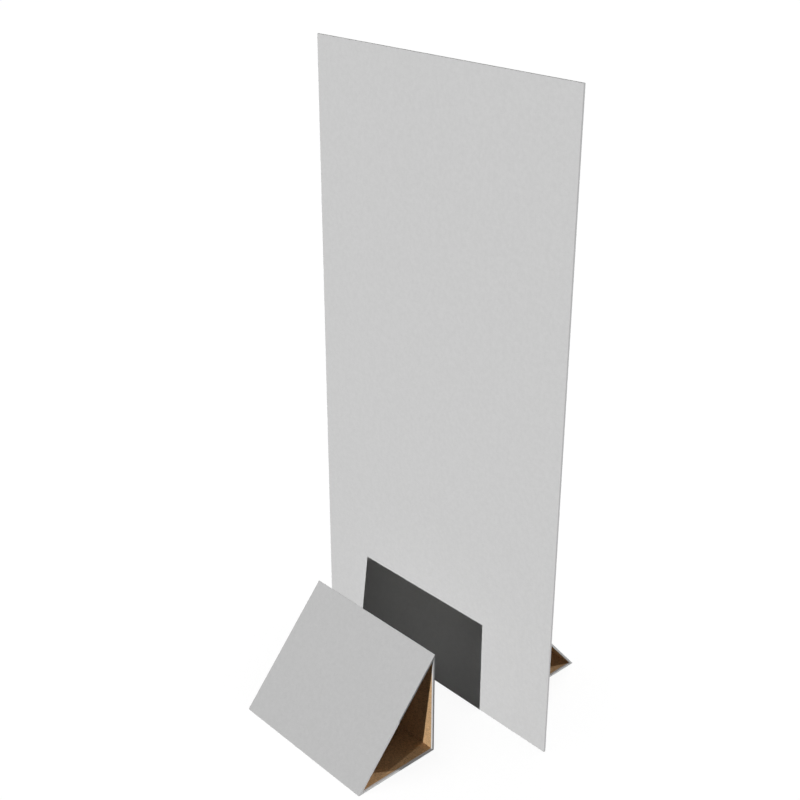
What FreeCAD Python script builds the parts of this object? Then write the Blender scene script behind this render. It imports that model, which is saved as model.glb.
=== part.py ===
import FreeCAD, Part
import math
import os

# A free-standing cardboard display panel with two folded cardboard feet.
#
# The panel is one tall flat board. Each foot is one strip of board folded into a
# three-sided tube, open at both ends, with a flap glued inside its sloping face.
# One foot stands in front of the panel and its twin, turned round, stands behind
# it, both a little way off, as they are set out before they are pushed on.
#
# Millimetres. X runs along the panel's width, +Y from its front face to its back,
# +Z is up. The origin is the middle of the panel's bottom edge, on the floor.

# Panel
panel_width = 1000.0
panel_height = 2000.0
panel_thickness = 6.5

# Foot, folded from one strip
foot_length = 535.0
foot_height = 352.0
foot_depth = 301.0
foot_board = 6.5

# Flap glued under the sloping face, cut back at both ends and tapered
flap_width = 60.0
flap_setback = 12.0
flap_taper = 25.0

# The white paper is turned over every cut edge and every fold, which softens them
edge_radius = 0.8
fold_radius = 0.8

# Shallow groove where the sloping face's top edge closes over the upright wall
seam_size = 1.2

# Clear distance from the panel's faces to the upright walls of the feet
front_gap = 238.0
rear_gap = 97.0

# Double-sided tape on a foot's upright wall, one strip near the top, one near the base
tape_width = 25.0
tape_thickness = 1.2
tape_end_margin = 30.0
tape_edge_margin = 20.0

slope = foot_height / foot_depth
slope_length = math.hypot(foot_height, foot_depth)


def softened(radius, board):
    """An edge radius that always leaves flat board between two rounded edges."""
    return min(radius, 0.4 * board)


def prism_along_x(section, length):
    """Extrude a closed (y, z) outline along X, centred on the foot's middle."""
    points = [FreeCAD.Vector(-length / 2, y, z) for y, z in section]
    face = Part.Face(Part.makePolygon(points + points[:1]))
    return face.extrude(FreeCAD.Vector(length, 0, 0))


def foot_triangle(inset):
    """Corners of the foot's side view, with every side moved inwards by inset.

    The upright wall lies on y = 0 and the foot reaches towards -Y.
    """
    peak = foot_height - inset * math.hypot(1.0, slope)
    heel = (-inset, inset)
    toe = (-(peak - inset) / slope, inset)
    top = (-inset, peak - slope * inset)
    return [heel, toe, top]


def glued_flap():
    """The strip's end, folded down at the top and glued under the sloping face."""
    down = FreeCAD.Vector(0, -foot_depth, -foot_height) / slope_length
    inward = FreeCAD.Vector(0, foot_height, -foot_depth) / slope_length
    fold = foot_triangle(foot_board)[2]
    under_fold = (fold[0], fold[1] - foot_board * math.hypot(1.0, slope))
    start = FreeCAD.Vector(0, *fold)
    edge = start + down * flap_width
    under_edge = edge + inward * foot_board
    section = [fold, (edge.y, edge.z), (under_edge.y, under_edge.z), under_fold]
    strip = prism_along_x(section, foot_length - 2 * flap_setback)

    half_fold = foot_length / 2 - flap_setback
    half_edge = half_fold - flap_taper
    above = start - down * foot_board - inward * foot_board
    below = edge - inward * foot_board
    taper_per_mm = flap_taper / flap_width
    half_above = half_fold + taper_per_mm * foot_board
    corners = [
        above + FreeCAD.Vector(-half_above, 0, 0),
        above + FreeCAD.Vector(half_above, 0, 0),
        below + FreeCAD.Vector(half_edge, 0, 0),
        below + FreeCAD.Vector(-half_edge, 0, 0),
    ]
    outline = Part.Face(Part.makePolygon(corners + corners[:1]))
    return strip.common(outline.extrude(inward * (3 * foot_board)))


def closing_seam():
    """A three-sided sliver that cuts the seam into the outside of the upright wall."""
    height = foot_height - foot_board * math.hypot(1.0, slope)
    section = [
        (seam_size, height - seam_size),
        (seam_size, height + seam_size),
        (-seam_size / 2, height + slope * seam_size / 2),
    ]
    return prism_along_x(section, 2 * foot_length)


def edges_along_x(shape):
    """The straight edges that run the whole length of a foot: its fold lines."""
    return [e for e in shape.Edges if abs(e.BoundBox.XLength - foot_length) < 0.001]


def edges_at_ends(shape):
    """The edges round the two open ends of a foot."""
    return [e for e in shape.Edges if e.BoundBox.XLength < 0.001]


def foot():
    """One foot at the origin: a mitred three-sided tube with its glued flap."""
    outside = prism_along_x(foot_triangle(0.0), foot_length)
    outside = outside.makeFillet(softened(fold_radius, foot_board), edges_along_x(outside))
    outside = outside.makeFillet(softened(edge_radius, foot_board), edges_at_ends(outside))
    hollow = prism_along_x(foot_triangle(foot_board), 2 * foot_length)
    tube = outside.cut(hollow).cut(closing_seam())
    return tube.fuse(glued_flap()).removeSplitter()


def tape_strip(base_height):
    """One strip of tape on the outside of a foot's upright wall."""
    length = foot_length - 2 * tape_end_margin
    corner = FreeCAD.Vector(-length / 2, 0, base_height)
    return Part.makeBox(length, tape_thickness, tape_width, corner)


def panel():
    """The tall board, standing on its bottom edge."""
    corner = FreeCAD.Vector(-panel_width / 2, -panel_thickness / 2, 0)
    board = Part.makeBox(panel_width, panel_thickness, panel_height, corner)
    return board.makeFillet(softened(edge_radius, panel_thickness), board.Edges)


def in_front(shape):
    """Move a piece of a foot from the origin to its place in front of the panel."""
    placed = shape.copy()
    placed.translate(FreeCAD.Vector(0, -panel_thickness / 2 - front_gap, 0))
    return placed


def behind(shape):
    """Turn a piece of a foot half round and move it to its place behind the panel."""
    placed = shape.copy()
    placed.rotate(FreeCAD.Vector(0, 0, 0), FreeCAD.Vector(0, 0, 1), 180)
    placed.translate(FreeCAD.Vector(0, panel_thickness / 2 + rear_gap, 0))
    return placed


def pieces():
    """Every separate piece of the display stand, by name."""
    tape_heights = {
        "lower_tape": tape_edge_margin,
        "upper_tape": foot_height - tape_edge_margin - tape_width,
    }
    made = {"panel": panel()}
    for side, place in (("front", in_front), ("rear", behind)):
        made[side + "_foot"] = place(foot())
        for name, height in tape_heights.items():
            made[side + "_" + name] = place(tape_strip(height))
    return made


os.makedirs("parts", exist_ok=True)
for name, shape in pieces().items():
    if len(shape.Solids) != 1 or not shape.isValid():
        raise ValueError(name + " is not one sound solid")
    shape.exportStep(os.path.join("parts", name + ".step"))
    box = shape.BoundBox
    print(f"{name}: {shape.Volume / 1000:.1f} cm3, "
          f"x {box.XMin:.1f} to {box.XMax:.1f}, "
          f"y {box.YMin:.1f} to {box.YMax:.1f}, "
          f"z {box.ZMin:.1f} to {box.ZMax:.1f}")
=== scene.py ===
# %% [markdown]
# A cardboard display stand: one tall white panel and two folded feet.
#
# The construction is fixed already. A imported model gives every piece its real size
# and place, and this notebook gives the pieces their looks. It is written for a
# reader who is learning Blender, so each step first says what the thing is in real
# life, how it could be made, and why it was made this way.

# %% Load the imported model
import math
import bpy
import numpy as np
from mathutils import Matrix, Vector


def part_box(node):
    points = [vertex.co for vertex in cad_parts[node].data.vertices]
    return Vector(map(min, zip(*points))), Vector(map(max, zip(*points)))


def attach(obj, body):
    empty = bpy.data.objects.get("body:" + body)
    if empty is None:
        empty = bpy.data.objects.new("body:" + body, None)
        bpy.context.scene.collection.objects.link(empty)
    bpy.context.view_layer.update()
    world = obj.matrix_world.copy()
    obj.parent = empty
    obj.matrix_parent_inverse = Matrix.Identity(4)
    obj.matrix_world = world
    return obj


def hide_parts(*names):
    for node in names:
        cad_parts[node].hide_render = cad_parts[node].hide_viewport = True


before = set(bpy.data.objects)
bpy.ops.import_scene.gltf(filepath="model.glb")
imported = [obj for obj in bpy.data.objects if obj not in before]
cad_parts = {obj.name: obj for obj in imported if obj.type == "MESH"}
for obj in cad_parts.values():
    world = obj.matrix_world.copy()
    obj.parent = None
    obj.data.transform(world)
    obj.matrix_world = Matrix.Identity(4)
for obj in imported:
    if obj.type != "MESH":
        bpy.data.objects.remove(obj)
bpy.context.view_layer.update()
panel_low, panel_high = (np.array(corner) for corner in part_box("panel"))
print("pieces in the model:", sorted(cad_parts))

# %% [markdown]
# Colours are easiest to match as the screen shows them, in sRGB hex, but a renderer
# adds and multiplies light, so it wants linear values. One function turns a hex
# colour into the linear colour that a shader's socket takes.

# %% Colours as written, and as the renderer needs them
def linear(hex_code):
    """Linear RGBA of an sRGB hex colour: the standard curve, undone channel by channel."""
    srgb = np.array([int(hex_code[i:i + 2], 16) for i in (1, 3, 5)]) / 255.0
    low, high = srgb / 12.92, ((srgb + 0.055) / 1.055) ** 2.4
    return (*np.where(srgb <= 0.04045, low, high), 1.0)


print("middle grey in linear values:", [round(c, 3) for c in linear("#808080")])

# %% [markdown]
# A shader is a small network of nodes, and wiring it by hand repeats the same three
# lines over and over: make a node, set its values, link its inputs. One function
# does all three. Inputs are named by their label, or by their number on the nodes
# whose labels repeat.

# %% One function that adds a shader node
def add_node(tree, kind, values=None, links=None, **settings):
    """Add a node of this kind, with its settings, input values and incoming links."""
    node = tree.nodes.new(kind)
    for name, value in settings.items():
        setattr(node, name, value)
    for name, value in (values or {}).items():
        node.inputs[name].default_value = value
    for name, source in (links or {}).items():
        tree.links.new(source, node.inputs[name])
    return node


# %% [markdown]
# The camera comes first, because everything else is compared through it. The long
# straight edges of the panel and the foot fix it: their vanishing points give the
# focal length, and the known sizes give the distance. It looks down from the front
# right, and its shift stays at zero, because the middle of the picture is also where
# the lens points.

# %% Camera
VIEW_AZIMUTH = math.radians(47.569)
VIEW_ELEVATION = math.radians(24.867)
CAMERA_PLACE = (2.4612, -2.3856, 2.5899)
FOCAL_LENGTH_MM = 57.4475
SENSOR_MM = 36.0

camera_data = bpy.data.cameras.new("camera")
camera_data.lens = FOCAL_LENGTH_MM
camera_data.sensor_width = SENSOR_MM
camera = bpy.data.objects.new("camera", camera_data)
camera.location = CAMERA_PLACE
camera.rotation_euler = (math.pi / 2 - VIEW_ELEVATION, 0.0, VIEW_AZIMUTH)
bpy.context.scene.collection.objects.link(camera)
bpy.context.scene.camera = camera
print("camera at", CAMERA_PLACE, "with a lens of", FOCAL_LENGTH_MM, "mm")

# %% [markdown]
# The floor is a studio sheet. The camera should see it as pure white, and yet it has
# to keep the stand's shadow. So what the camera sees, directly, in a glossy surface or
# through glass, is partly a matt sheet, which a shadow darkens, and mostly a plain
# glow. The rays that carry light to the stand meet a dim glow instead, of the same
# level as the fill light of the next step. So the white floor doesn't light the stand
# from below, and the stand is filled as evenly from below as from above.

# %% Floor
FLOOR_REACH = 40.0
FLOOR_MATT = (0.16, 0.16, 0.16, 1.0)
FLOOR_GLOW = 0.86
FILL_LEVEL = 0.035
WHITE = (1.0, 1.0, 1.0, 1.0)


def seen_directly(tree):
    """1 for rays from the camera, also mirrored or through glass, 0 for those that carry light."""
    ray = add_node(tree, "ShaderNodeLightPath")
    seen = ray.outputs["Is Camera Ray"]
    for kind in ("Is Glossy Ray", "Is Transmission Ray"):
        seen = add_node(tree, "ShaderNodeMath", links={0: seen, 1: ray.outputs[kind]},
                        operation="MAXIMUM").outputs[0]
    return seen


floor_mesh = bpy.data.meshes.new("floor")
corners = np.array([(-1, -1, 0), (1, -1, 0), (1, 1, 0), (-1, 1, 0)]) * FLOOR_REACH
floor_mesh.from_pydata(corners, [], [(0, 1, 2, 3)])
floor = bpy.data.objects.new("floor", floor_mesh)
bpy.context.scene.collection.objects.link(floor)

floor_finish = bpy.data.materials.new("white_studio_sheet")
floor_finish.use_nodes = True
tree = floor_finish.node_tree
tree.nodes.clear()
matt = add_node(tree, "ShaderNodeBsdfDiffuse", {"Color": FLOOR_MATT})
glow = add_node(tree, "ShaderNodeEmission", {"Color": WHITE, "Strength": FLOOR_GLOW})
shown = add_node(tree, "ShaderNodeAddShader", links={0: matt.outputs[0], 1: glow.outputs[0]})
dim = add_node(tree, "ShaderNodeEmission", {"Color": WHITE, "Strength": FILL_LEVEL})
sheet = add_node(tree, "ShaderNodeMixShader", links={0: seen_directly(tree),
                 1: dim.outputs[0], 2: shown.outputs[0]})
add_node(tree, "ShaderNodeOutputMaterial", links={"Surface": sheet.outputs[0]})
floor_mesh.materials.append(floor_finish)
print("floor reaches", FLOOR_REACH, "m each way")

# %% [markdown]
# Two low, distant lamps light the stand. The front lamp does most of the work. It has a
# hard edge, and it throws the front foot's outline onto the panel as a dark rectangle,
# which is the strongest thing in the picture. The second lamp comes from behind on the
# right. This camera sees it only on the right-hand ends and as lit patches inside the
# feet, and it lights the backs. A sun lamp suits both, because its rays are parallel
# and its direction alone places the shadow.
#
# A dim, even world fills what neither lamp reaches, and a weak soft lamp beside the
# camera keeps the inside of the feet from going black. One more soft lamp, from the
# left, brings out the left-hand ends for whoever walks round the stand. It is almost
# level, so that it hardly touches the floors of the feet, which this camera sees.
#
# A sun's strength divided by pi is the level at which a white surface that faces it
# renders. The levels are chosen so that the front of the panel adds up to one, which
# makes a colour come out about as it is written.
#
# Lamps this low would lay shadows metres long over the floor, where the picture has
# a plain white ground. Light linking keeps them off the floor, and one wide lamp from
# overhead, linked to the floor alone, gives it a faint short shadow instead.

# %% Lamps and fill light
FRONT_LAMP_TRAVEL = (-0.160, 0.980, -0.121)
FRONT_LAMP_LEVEL = 0.961
REAR_LAMP_TRAVEL = (-0.508, -0.832, -0.223)
REAR_LAMP_LEVEL = 1.05
CAMERA_SIDE_TRAVEL = (-0.563, 0.537, -0.627)
CAMERA_SIDE_LEVEL = 0.035
LEFT_LAMP_TRAVEL = (0.984, -0.172, -0.040)
LEFT_LAMP_LEVEL = 0.18
OVERHEAD_TRAVEL = (0.0, 0.0, -1.0)
OVERHEAD_LEVEL = 0.9
HARD_LAMP_WIDTH = math.radians(0.2)
SOFT_LAMP_WIDTH = math.radians(8.0)
OVERHEAD_WIDTH = math.radians(60.0)


def add_sun(name, travel, level, width, floor_state):
    """A sun lamp whose rays run along travel, turned from its default of straight down.

    floor_state is EXCLUDE for a lamp that lights all but the floor, and INCLUDE for one
    that lights the floor alone.
    """
    data = bpy.data.lights.new(name, "SUN")
    data.energy = level * math.pi
    data.angle = width
    lamp = bpy.data.objects.new(name, data)
    x, y, z = travel
    lamp.rotation_euler = (math.atan2(math.hypot(x, y), -z), 0.0, math.atan2(y, x) - math.pi / 2)
    bpy.context.scene.collection.objects.link(lamp)
    receivers = bpy.data.collections.new(name + "_receivers")
    receivers.objects.link(floor)
    receivers.collection_objects[0].light_linking.link_state = floor_state
    lamp.light_linking.receiver_collection = receivers


add_sun("front_lamp", FRONT_LAMP_TRAVEL, FRONT_LAMP_LEVEL, HARD_LAMP_WIDTH, "EXCLUDE")
add_sun("rear_lamp", REAR_LAMP_TRAVEL, REAR_LAMP_LEVEL, HARD_LAMP_WIDTH, "EXCLUDE")
add_sun("camera_side_lamp", CAMERA_SIDE_TRAVEL, CAMERA_SIDE_LEVEL, SOFT_LAMP_WIDTH, "EXCLUDE")
add_sun("left_lamp", LEFT_LAMP_TRAVEL, LEFT_LAMP_LEVEL, SOFT_LAMP_WIDTH, "EXCLUDE")
add_sun("overhead_lamp", OVERHEAD_TRAVEL, OVERHEAD_LEVEL, OVERHEAD_WIDTH, "INCLUDE")

world = bpy.data.worlds.new("even_fill")
world.use_nodes = True
world_tree = world.node_tree
world_tree.nodes.clear()
fill = add_node(world_tree, "ShaderNodeBackground", {"Color": WHITE, "Strength": FILL_LEVEL})
white = add_node(world_tree, "ShaderNodeBackground", {"Color": WHITE, "Strength": 1.0})
both = add_node(world_tree, "ShaderNodeMixShader", links={0: seen_directly(world_tree),
                1: fill.outputs[0], 2: white.outputs[0]})
add_node(world_tree, "ShaderNodeOutputWorld", links={"Surface": both.outputs[0]})
bpy.context.scene.world = world
bpy.context.scene.view_settings.view_transform = "Standard"
panel_level = (FRONT_LAMP_LEVEL * FRONT_LAMP_TRAVEL[1] + CAMERA_SIDE_LEVEL * CAMERA_SIDE_TRAVEL[1]
               + FILL_LEVEL)
print("level on the front of the panel:", round(panel_level, 3))

# %% [markdown]
# Every piece here is a surface worked out on a grid: rows run one way over it and
# columns the other, and each little square of the grid becomes one face. Where a
# surface closes on itself, like the wall of a tube, the last row joins the first.
# Two functions cover it. One numbers the corners of the faces, the other puts points,
# faces and finishes into a mesh.

# %% From grids to meshes
def grid_faces(rows, columns, closed_rows=False, closed_columns=False):
    """Corner numbers of the squares of a grid, and the column of each corner.

    The point in row i and column j has number i * columns + j. A closed direction has
    one more square than an open one, which runs from the last line back to the first.
    """
    i, j = np.meshgrid(np.arange(rows - (not closed_rows)),
                       np.arange(columns - (not closed_columns)), indexing="ij")
    i, j = i.ravel(), j.ravel()
    row = np.stack([i, i + 1, i + 1, i], axis=1) % rows
    column = np.stack([j, j, j + 1, j + 1], axis=1) % columns
    return row * columns + column, column


def add_piece(name, points, faces, materials, finishes=None, replaces=()):
    """A mesh object at the origin, riding on the stand. finishes numbers each face's material."""
    mesh = bpy.data.meshes.new(name)
    mesh.from_pydata(points, [], faces.tolist())
    for material in materials:
        mesh.materials.append(material)
    if finishes is not None:
        mesh.polygons.foreach_set("material_index", finishes.astype(np.int32))
    mesh.validate()
    mesh.update()
    piece = bpy.data.objects.new(name, mesh)
    bpy.context.scene.collection.objects.link(piece)
    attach(piece, "root")
    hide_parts(*replaces)
    print(name, "has", len(mesh.polygons), "faces, from",
          points.min(axis=0).round(4), "to", points.max(axis=0).round(4))


for closed in (False, True):
    squares, _ = grid_faces(4, 6, closed, closed)
    print("squares on a grid of 4 by 6 points,", "closed:" if closed else "open:", len(squares))


# %% [markdown]
# A white panel has almost no colour of its own, so its finish carries it. The real
# board is corrugated, with a white paper glued on each side and turned over its cut
# edges. Four things show in that paper. Pulp settles unevenly, which gives a cloudy
# mottle about a centimetre across. Fibres lie mostly one way, as short pale and dark
# flecks. Here and there a bundle of fibres stayed together as a darker speck, which
# papermakers call a shive. And the waves of the core print through as faint upright
# ridges, the washboard that gives corrugated board away in raking light. Mottle,
# flecks and shives are colour, flecks and ridges are bump. The ridges are a sine of X,
# so they keep the core's real pitch on the panel and on the feet alike.
#
# Real fibres are 1 to 3 mm long and a tenth of that wide. A picture of the whole stand
# has about one pixel for every 3 mm, and would not show them. So the flecks and the
# shives are drawn several times wider than they are, and the flecks most of all on the
# brown paper, where they are plainest.

# %% Patterns of paper over corrugated board
WAVE_PITCH = 0.0076
RIDGE_HEIGHT = 0.00003
MOTTLE_SIZE = 0.012
FLECK_STRETCH = 2.0
SHIVE_SIZE = 0.0025
SHIVE_STRETCH = 2.5

# Noise runs from 0 to 1, and most of it lies between these two
NOISE_LOW = 0.3
NOISE_HIGH = 0.7

# Only its highest peaks are shives: they begin at the first level and are full at the second
SHIVE_START = 0.56
SHIVE_FULL = 0.66


def paper_noise(tree, size, stretch=1.0, detail=2.0):
    """Soft noise whose grains are about size metres across, and drawn out along X."""
    place = add_node(tree, "ShaderNodeTexCoord")
    grain = (1.0 / (size * stretch), 1.0 / size, 1.0 / size)
    scaled = add_node(tree, "ShaderNodeMapping", {"Scale": grain}, {"Vector": place.outputs["Object"]})
    return add_node(tree, "ShaderNodeTexNoise", {"Scale": 1.0, "Detail": detail},
                    {"Vector": scaled.outputs["Vector"]}).outputs["Fac"]


def washboard(tree):
    """The core's ridges as a height from -1 to 1: a sine of X with the core's pitch."""
    place = add_node(tree, "ShaderNodeTexCoord")
    x = add_node(tree, "ShaderNodeSeparateXYZ", links={0: place.outputs["Object"]})
    phase = add_node(tree, "ShaderNodeMath", {1: 2 * math.pi / WAVE_PITCH},
                     {0: x.outputs["X"]}, operation="MULTIPLY")
    return add_node(tree, "ShaderNodeMath", links={0: phase.outputs[0]}, operation="SINE").outputs[0]


def brightness(tree, noise, swing):
    """A factor that runs from 1 - swing to 1 + swing over the middle of the noise."""
    return add_node(tree, "ShaderNodeMapRange",
                    {"From Min": NOISE_LOW, "From Max": NOISE_HIGH,
                     "To Min": 1.0 - swing, "To Max": 1.0 + swing},
                    {"Value": noise}).outputs["Result"]


def shives(tree, depth):
    """A factor of 1 that drops to 1 - depth on the few highest peaks of a stretched noise."""
    bundles = paper_noise(tree, SHIVE_SIZE, SHIVE_STRETCH, detail=1.0)
    return add_node(tree, "ShaderNodeMapRange",
                    {"From Min": SHIVE_START, "From Max": SHIVE_FULL,
                     "To Min": 1.0, "To Max": 1.0 - depth},
                    {"Value": bundles}).outputs["Result"]


print("ridges every", round(1000 * WAVE_PITCH, 3), "mm,", round(1000 * RIDGE_HEIGHT, 3), "mm high")

# %% [markdown]
# One function makes both papers. Its colour is the paper's own, made lighter and
# darker by the clouds, the flecks and the shives. Paper is matt: its fibres scatter
# light every way, so the roughness is high and the mirror-like part is small. A swing
# is how far the colour goes to each side of its mean, as a share, and sizes are metres.

# %% A matt paper
PAPER_ROUGHNESS = 0.85


def paper_material(name, colour, cloud_swing, fleck_swing, fleck_size, fleck_height, shive_depth, shine):
    """A matt uncoated paper on corrugated board: its colour * clouds * flecks * shives."""
    material = bpy.data.materials.new(name)
    material.use_nodes = True
    tree = material.node_tree
    tree.nodes.clear()
    fibres = paper_noise(tree, fleck_size, FLECK_STRETCH, detail=4.0)
    clouds = brightness(tree, paper_noise(tree, MOTTLE_SIZE), cloud_swing)
    flecks = brightness(tree, fibres, fleck_swing)
    specks = shives(tree, shive_depth)
    mottled = add_node(tree, "ShaderNodeMath", links={0: clouds, 1: flecks}, operation="MULTIPLY")
    factor = add_node(tree, "ShaderNodeMath", links={0: mottled.outputs[0], 1: specks},
                      operation="MULTIPLY")
    shade = add_node(tree, "ShaderNodeVectorMath", {0: linear(colour)[:3]},
                     {"Scale": factor.outputs[0]}, operation="SCALE")
    ridges = add_node(tree, "ShaderNodeBump", {"Distance": RIDGE_HEIGHT}, {"Height": washboard(tree)})
    relief = add_node(tree, "ShaderNodeBump", {"Distance": fleck_height},
                      {"Height": fibres, "Normal": ridges.outputs["Normal"]})
    shader = add_node(tree, "ShaderNodeBsdfPrincipled",
                      {"Roughness": PAPER_ROUGHNESS, "Specular IOR Level": shine},
                      {"Base Color": shade.outputs["Vector"], "Normal": relief.outputs["Normal"]})
    add_node(tree, "ShaderNodeOutputMaterial", links={"Surface": shader.outputs[0]})
    return material


white_paper = paper_material("matt_white_top_paper", "#CACACA", cloud_swing=0.022, fleck_swing=0.03,
                             fleck_size=0.0015, fleck_height=0.00005, shive_depth=0.02, shine=0.04)
print("made", white_paper.name)

# %% [markdown]
# The panel is one flat board. A plain box would have knife edges, which no
# paper-covered board has, so the shape is a slab with rounded edges. Its formula
# starts from a box: every point is pulled back to a smaller box inside, inset by the
# edge's radius, and pushed out again by exactly that radius. Where the point was over
# the middle of a side it comes back to where it was, and near an edge it lands on a
# round. The grid lines crowd into the round and are sparse elsewhere.

# %% A slab with rounded edges
ROUND_STEPS = 4


def slab_lines(half, radius, cuts):
    """Places of the grid lines across one side: close in the rounds, cuts squares between."""
    angles = np.linspace(math.pi / 4, 0.0, ROUND_STEPS + 1)
    ends = half - radius + radius * np.tan(angles)
    middle = np.linspace(radius - half, half - radius, cuts + 1)[1:-1]
    return np.concatenate([-ends, middle, ends[::-1]])


def rounded_slab(size, radius, cuts):
    """Points and faces of a slab with rounded edges, centred on the origin.

    q is a point of the plain box and c the nearest point of the box inset by the radius.
    The slab's point is c + radius * (q - c) / |q - c|. The six sides are then joined
    where their edge points coincide. cuts is the number of squares between the rounds
    along X, Y and Z.
    """
    half = np.array(size) / 2.0
    points, faces, count = [], [], 0
    for axis in range(3):
        across, along = (axis + 1) % 3, (axis + 2) % 3
        lines = [slab_lines(half[k], radius, cuts[k]) for k in (across, along)]
        for side in (-1.0, 1.0):
            a, b = np.meshgrid(*lines, indexing="ij")
            q = np.empty(a.shape + (3,))
            q[..., axis], q[..., across], q[..., along] = side * half[axis], a, b
            corners = grid_faces(*a.shape)[0] + count
            points.append(q.reshape(-1, 3))
            faces.append(corners if side > 0 else corners[:, ::-1])
            count += a.size
    q = np.concatenate(points)
    c = np.clip(q, radius - half, half - radius)
    away = q - c
    rounded = c + radius * away / np.linalg.norm(away, axis=1, keepdims=True)
    kept, number = np.unique(rounded.round(7), axis=0, return_inverse=True)
    return kept, number.ravel()[np.concatenate(faces)]


print("grid lines across 10 mm with rounds of 1 mm:", slab_lines(5.0, 1.0, 2).round(2))

# %% The panel
EDGE_RADIUS = 0.0008
PANEL_CUTS = (8, 1, 16)

slab_points, slab_faces = rounded_slab(panel_high - panel_low, EDGE_RADIUS, PANEL_CUTS)
slab_points = slab_points + (panel_low + panel_high) / 2.0
add_piece("panel_board", slab_points, slab_faces, [white_paper],
          replaces=["panel"])

# %% [markdown]
# Inside the feet the board is bare brown kraft. Kraft is unbleached pulp, so it is
# mottled more strongly than white paper, its fibres show more and its shives are dark
# specks of bark. The same function makes it, with a warmer colour and wider swings.

# %% Bare kraft paper
kraft_paper = paper_material("bare_kraft_paper", "#B7946B", cloud_swing=0.06, fleck_swing=0.30,
                             fleck_size=0.0035, fleck_height=0.0001, shive_depth=0.22, shine=0.4)
print("made", kraft_paper.name)

# %% [markdown]
# A foot is one strip of board. A V-shaped groove is cut across its inside at each
# fold, so the white paper outside stays whole and the corners close to a sharp mitre.
# The white paper is also turned over the cut ends and stuck down inside, where it
# leaves a white margin along the brown. That margin is what shows as a pale line
# round the opening. At the top the sloping face closes over the edge of the upright
# wall, and the seam between them is a fine groove.
#
# Seen from the side the foot is two triangles, one inside the other, and seen along
# the board it is a long thin rectangle with rounded ends. So its whole skin is one
# grid that closes on itself both ways, like the skin of a ring. One parameter goes
# round the triangle, the other goes along the outside, over the end, back along the
# inside and over the other end. A point is a blend of the outer and inner triangles:
# share 0 is the outer face of the board, share 1 is the inner face.

# %% Sizes of a foot
# Height and depth go to the sharp corners, as they would be without rounded folds
FOOT_HEIGHT = 0.352
FOOT_DEPTH = 0.301
FOOT_BOARD = 0.0065
SLOPE = FOOT_HEIGHT / FOOT_DEPTH
FOLD_RADIUS = 0.0008
CREASE_RADIUS = 0.0006
PAPER_THICKNESS = 0.0003
TURNED_MARGIN = 0.0056

# The seam's upper lip, bottom and lower lip lie SEAM_LIPS higher than SEAM_HEIGHT
SEAM_HEIGHT = FOOT_HEIGHT - FOOT_BOARD * math.hypot(1.0, SLOPE)
SEAM_LIPS = (0.00087, 0.0007, 0.00007)
SEAM_DEPTH = 0.0006

# Grid squares along each straight wall, and from a foot's middle to its end
WALL_STEPS = 8
LENGTH_STEPS = 4

foot_low, foot_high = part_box("front_foot")
foot_length = foot_high[0] - foot_low[0]
print("a foot is", round(foot_length, 4), "m long, and its seam is at", round(SEAM_HEIGHT, 4), "m")


# %% The triangle in side view
def inset_triangle(inset):
    """Heel, toe and top of the foot in side view (depth, height), every side moved in by inset."""
    peak = FOOT_HEIGHT - inset * math.hypot(1.0, SLOPE)
    return np.array([(inset, inset), ((peak - inset) / SLOPE, inset), (inset, peak - SLOPE * inset)])


def triangle_loop(inset, radius, seam=False):
    """Points once round the triangle: up the slope, down the upright wall, back on the floor.

    A corner's arc is centred on the corner of the triangle inset by the radius as well,
    and turns from the outward direction of one wall to that of the next. The walls are
    straight between the arcs. Both loops use the same steps, so their points pair up.
    """
    lean = math.atan2(FOOT_DEPTH, FOOT_HEIGHT)
    facing = [-math.pi / 2, lean, math.pi, 1.5 * math.pi]
    centres = inset_triangle(inset + radius)[[1, 2, 0]]
    arcs = []
    for centre, start, end in zip(centres, facing[:3], facing[1:]):
        turn = np.linspace(start, end, 2 * ROUND_STEPS + 1)[:, None]
        arcs.append(centre + radius * np.concatenate([np.cos(turn), np.sin(turn)], axis=1))
    even = np.linspace(0.0, 1.0, WALL_STEPS + 1)[1:-1]
    outer_top, outer_heel = inset_triangle(FOLD_RADIUS)[[2, 0], 1]
    lips = SEAM_HEIGHT + np.array(SEAM_LIPS)
    seam_share = (outer_top - lips) / (outer_top - outer_heel)
    shares = [even, np.concatenate([seam_share, even]), even]
    loop = []
    for k, share in enumerate(shares):
        start, end = arcs[k][-1], arcs[(k + 1) % 3][0]
        wall = start + share[:, None] * (end - start)
        if seam and k == 1:
            wall[1, 0] += SEAM_DEPTH
        loop += [arcs[k], wall]
    return np.concatenate(loop)


outer_loop = triangle_loop(0.0, FOLD_RADIUS, seam=True)
inner_loop = triangle_loop(FOOT_BOARD, CREASE_RADIUS)
print("points round the triangle:", len(outer_loop), "and", len(inner_loop))


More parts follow.
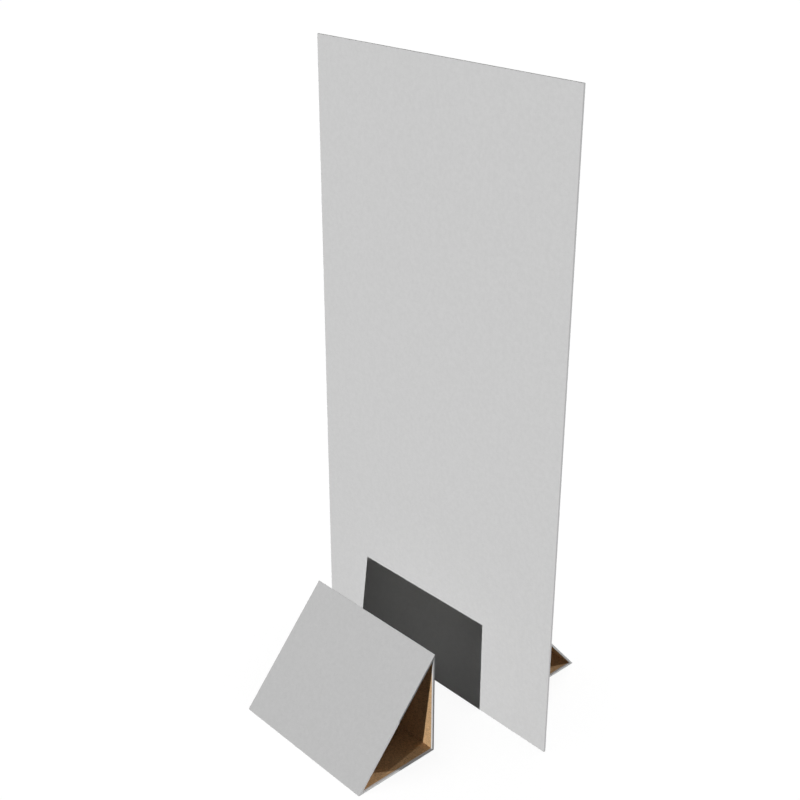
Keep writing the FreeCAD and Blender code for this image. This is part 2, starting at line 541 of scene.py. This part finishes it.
# %% The board in section
def board_section():
    """Place along X and share of the board's thickness, once round the board.

    Out along the outer face, over the cut end, back along the turned-in margin, which is
    one paper thicker, down its edge and along the bare inner face, then the mirror image.
    """
    end, paper = foot_length / 2.0, PAPER_THICKNESS / FOOT_BOARD
    turn = np.linspace(0.0, math.pi / 2, ROUND_STEPS + 1)
    outer_x = np.linspace(0.0, end - FOLD_RADIUS, LENGTH_STEPS + 1)[:-1]
    over_x = end - FOLD_RADIUS * (1.0 - np.sin(turn))
    over_share = FOLD_RADIUS * (1.0 - np.cos(turn)) / FOOT_BOARD
    in_x = end - CREASE_RADIUS * (1.0 - np.cos(turn))
    in_share = 1.0 + paper - CREASE_RADIUS * (1.0 - np.sin(turn)) / FOOT_BOARD
    margin_x = end - TURNED_MARGIN - np.array([0.0, PAPER_THICKNESS])
    inner_x = np.linspace(margin_x[-1], 0.0, LENGTH_STEPS + 1)[1:]
    x = np.concatenate([outer_x, over_x, in_x, margin_x, inner_x])
    share = np.concatenate([0 * outer_x, over_share, in_share, (1.0 + paper, 1.0), 1.0 + 0 * inner_x])
    return np.concatenate([x, -x[-2:0:-1]]), np.concatenate([share, share[-2:0:-1]])


section_x, section_share = board_section()
print("points round the board's section:", len(section_x))


# %% The folded foot
def folded_foot():
    """Points and faces of a foot, its upright wall on depth 0, and which faces are bare kraft.

    point(i, j) = outer(i) * (1 - share(j)) + inner(i) * share(j), at x(j).
    """
    share = section_share[None, :, None]
    side = outer_loop[:, None, :] * (1.0 - share) + inner_loop[:, None, :] * share
    x = np.broadcast_to(section_x, side.shape[:2])
    points = np.stack([x, side[..., 0], side[..., 1]], axis=-1).reshape(-1, 3)
    faces, column = grid_faces(*side.shape[:2], closed_rows=True, closed_columns=True)
    bare = np.isclose(section_share, 1.0)[column].all(axis=1)
    return points, faces, bare


foot_points, foot_faces, foot_bare = folded_foot()
print("a foot has", len(foot_faces), "faces, and", foot_bare.sum(), "of them are bare kraft")

# %% [markdown]
# The strip's last end is folded down at the top and glued under the sloping face. Its
# ends are cut back and tapered, so that they don't show at the openings. It is made
# from the same rounded slab, laid flat, tapered, and slanted at its folded end so
# that it sits against the upright wall. A tenth of a millimetre of glue keeps its
# faces from lying in the same plane as the foot's.

# %% The glued flap
FLAP_WIDTH = 0.060
FLAP_SETBACK = 0.012
FLAP_TAPER = 0.025
FLAP_CUTS = (8, 4, 1)
GLUE_GAP = 0.0001


def glued_flap():
    """Points and faces of the flap, in the same place as the foot that holds it.

    The slab lies on x along the foot, s down the slope and t inwards. x is drawn in by
    FLAP_TAPER over the width, and s grows by t * SLOPE at the fold and not at the free edge.
    """
    size = np.array([foot_length - 2 * FLAP_SETBACK, FLAP_WIDTH, FOOT_BOARD])
    points, faces = rounded_slab(size, FOLD_RADIUS, FLAP_CUTS)
    x, s, t = (points + size * (0.0, 0.5, 0.5)).T
    x = x * (1.0 - FLAP_TAPER / (size[0] / 2.0) * s / FLAP_WIDTH)
    s = s + (1.0 - s / FLAP_WIDTH) * t * SLOPE
    down = np.array([FOOT_DEPTH, -FOOT_HEIGHT]) / math.hypot(FOOT_DEPTH, FOOT_HEIGHT)
    inwards = np.array([down[1], -down[0]])
    top = inset_triangle(FOOT_BOARD)[2] + (GLUE_GAP, 0.0)
    side = top + s[:, None] * down + (t[:, None] + GLUE_GAP) * inwards
    return np.column_stack([x, side]), faces


flap_points, flap_faces = glued_flap()
print("the flap has", len(flap_faces), "faces")

# %% [markdown]
# The two feet are alike, and the rear one is the front one turned to face the other
# way. Left and right are the same on a foot, so it is enough to change the sign of its
# depth. Changing one sign mirrors a mesh and turns it inside out. Which way a closed
# surface faces shows in the volume that its faces enclose, which comes out negative
# when they point inwards, and then every face is turned over.

# %% Which way a mesh faces
def enclosed_volume(points, faces):
    """Volume inside a closed surface: the sum of the cones from the origin to each face."""
    a, b, c, d = (points[faces[:, k]] for k in range(4))
    return (np.cross(a, b) * c + np.cross(a, c) * d).sum() / 6.0


def facing_outwards(points, faces):
    """The same faces, turned over if the surface that they close is inside out."""
    return faces if enclosed_volume(points, faces) > 0.0 else faces[:, ::-1]


print("volume of the panel in litres:", round(1000 * enclosed_volume(slab_points, slab_faces), 2))

# %% Both feet in their places
# Where the upright wall of each foot stands, and which way the foot reaches from there
WAYS = {"front": (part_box("front_foot")[1][1], -1.0), "rear": (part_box("rear_foot")[0][1], 1.0)}


def in_place(points, wall, way):
    """Points of a foot with their depth counted from its upright wall, the way it reaches."""
    return points * (1.0, way, 1.0) + (0.0, wall, 0.0)


for which, (wall, way) in WAYS.items():
    placed = in_place(foot_points, wall, way)
    add_piece(which + "_foot_board", placed, facing_outwards(placed, foot_faces),
              [white_paper, kraft_paper], finishes=foot_bare,
              replaces=[which + "_foot"])
    placed = in_place(flap_points, wall, way)
    add_piece(which + "_foot_flap", placed, facing_outwards(placed, flap_faces), [kraft_paper],
              replaces=[which + "_foot"])

# %% [markdown]
# Two strips of double-sided foam tape run along the upright wall of each foot, ready
# to hold it to the panel. A strip is a thin white foam, and on it a release paper
# that is peeled off last. The paper is a little wider than the foam, and stands free
# past one end of it as a tab for the fingers.
#
# Release paper is glassine, a dense paper with a thin silicone coat. It is cream in
# colour and much smoother than the board, so it keeps a soft sheen. The foam is
# matt, with fine closed cells.

# %% Tape finishes
FOAM_CELL_SIZE = 0.0012
CLOUD_SIZE = 0.006


def plain_material(name, colour, grain, swing, relief_height, roughness, shine):
    """A smooth finish whose colour and surface vary with one soft noise."""
    material = bpy.data.materials.new(name)
    material.use_nodes = True
    tree = material.node_tree
    tree.nodes.clear()
    noise = paper_noise(tree, grain)
    shade = add_node(tree, "ShaderNodeVectorMath", {0: linear(colour)[:3]},
                     {"Scale": brightness(tree, noise, swing)}, operation="SCALE")
    relief = add_node(tree, "ShaderNodeBump", {"Distance": relief_height}, {"Height": noise})
    shader = add_node(tree, "ShaderNodeBsdfPrincipled",
                      {"Roughness": roughness, "Specular IOR Level": shine},
                      {"Base Color": shade.outputs["Vector"], "Normal": relief.outputs["Normal"]})
    add_node(tree, "ShaderNodeOutputMaterial", links={"Surface": shader.outputs[0]})
    return material


glassine = plain_material("glassine_release_paper", "#DED7BF", grain=CLOUD_SIZE, swing=0.03,
                          relief_height=0.00002, roughness=0.38, shine=0.5)
foam = plain_material("closed_cell_tape_foam", "#E2E2DE", grain=FOAM_CELL_SIZE, swing=0.06,
                      relief_height=0.0001, roughness=0.8, shine=0.2)
print("made", glassine.name, "and", foam.name)

# %% The tape strips
LINER_THICKNESS = 0.00015
FOAM_INSET = 0.0007
PULL_TAB = 0.009
TAPE_CUTS = (6, 1, 1)

# How round the edges are, as shares of the tape's and of the liner's thickness
FOAM_ROUNDING = 1.0 / 4.0
LINER_ROUNDING = 1.0 / 3.0


def tape_strip(low, high, way):
    """Points, faces and finishes of a strip: 0 for the foam against the foot, 1 for its liner.

    Two rounded slabs. The liner fills the strip's box in length and width, and the foam is
    inset from its edges and stops short of its right-hand end by the pull tab.
    """
    size, middle = high - low, (low + high) / 2.0
    foam_size = size - (2 * FOAM_INSET + PULL_TAB, LINER_THICKNESS, 2 * FOAM_INSET)
    foam_shift = np.array([-PULL_TAB / 2.0, way * LINER_THICKNESS / 2.0, 0.0])
    liner_size = np.array([size[0], LINER_THICKNESS, size[2]])
    liner_shift = np.array([0.0, -way * (size[1] - LINER_THICKNESS) / 2.0, 0.0])
    foam_points, foam_faces = rounded_slab(foam_size, size[1] * FOAM_ROUNDING, TAPE_CUTS)
    liner_points, liner_faces = rounded_slab(liner_size, LINER_THICKNESS * LINER_ROUNDING, TAPE_CUTS)
    points = np.concatenate([foam_points + foam_shift, liner_points + liner_shift]) + middle
    faces = np.concatenate([foam_faces, liner_faces + len(foam_points)])
    return points, faces, np.repeat([0, 1], [len(foam_faces), len(liner_faces)])


for which, (_, way) in WAYS.items():
    for level in ("lower", "upper"):
        node = which + "_" + level + "_tape"
        points, faces, finishes = tape_strip(*(np.array(corner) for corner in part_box(node)), way)
        add_piece(node + "_strip", points, faces, [foam, glassine], finishes=finishes,
                  replaces=[node])
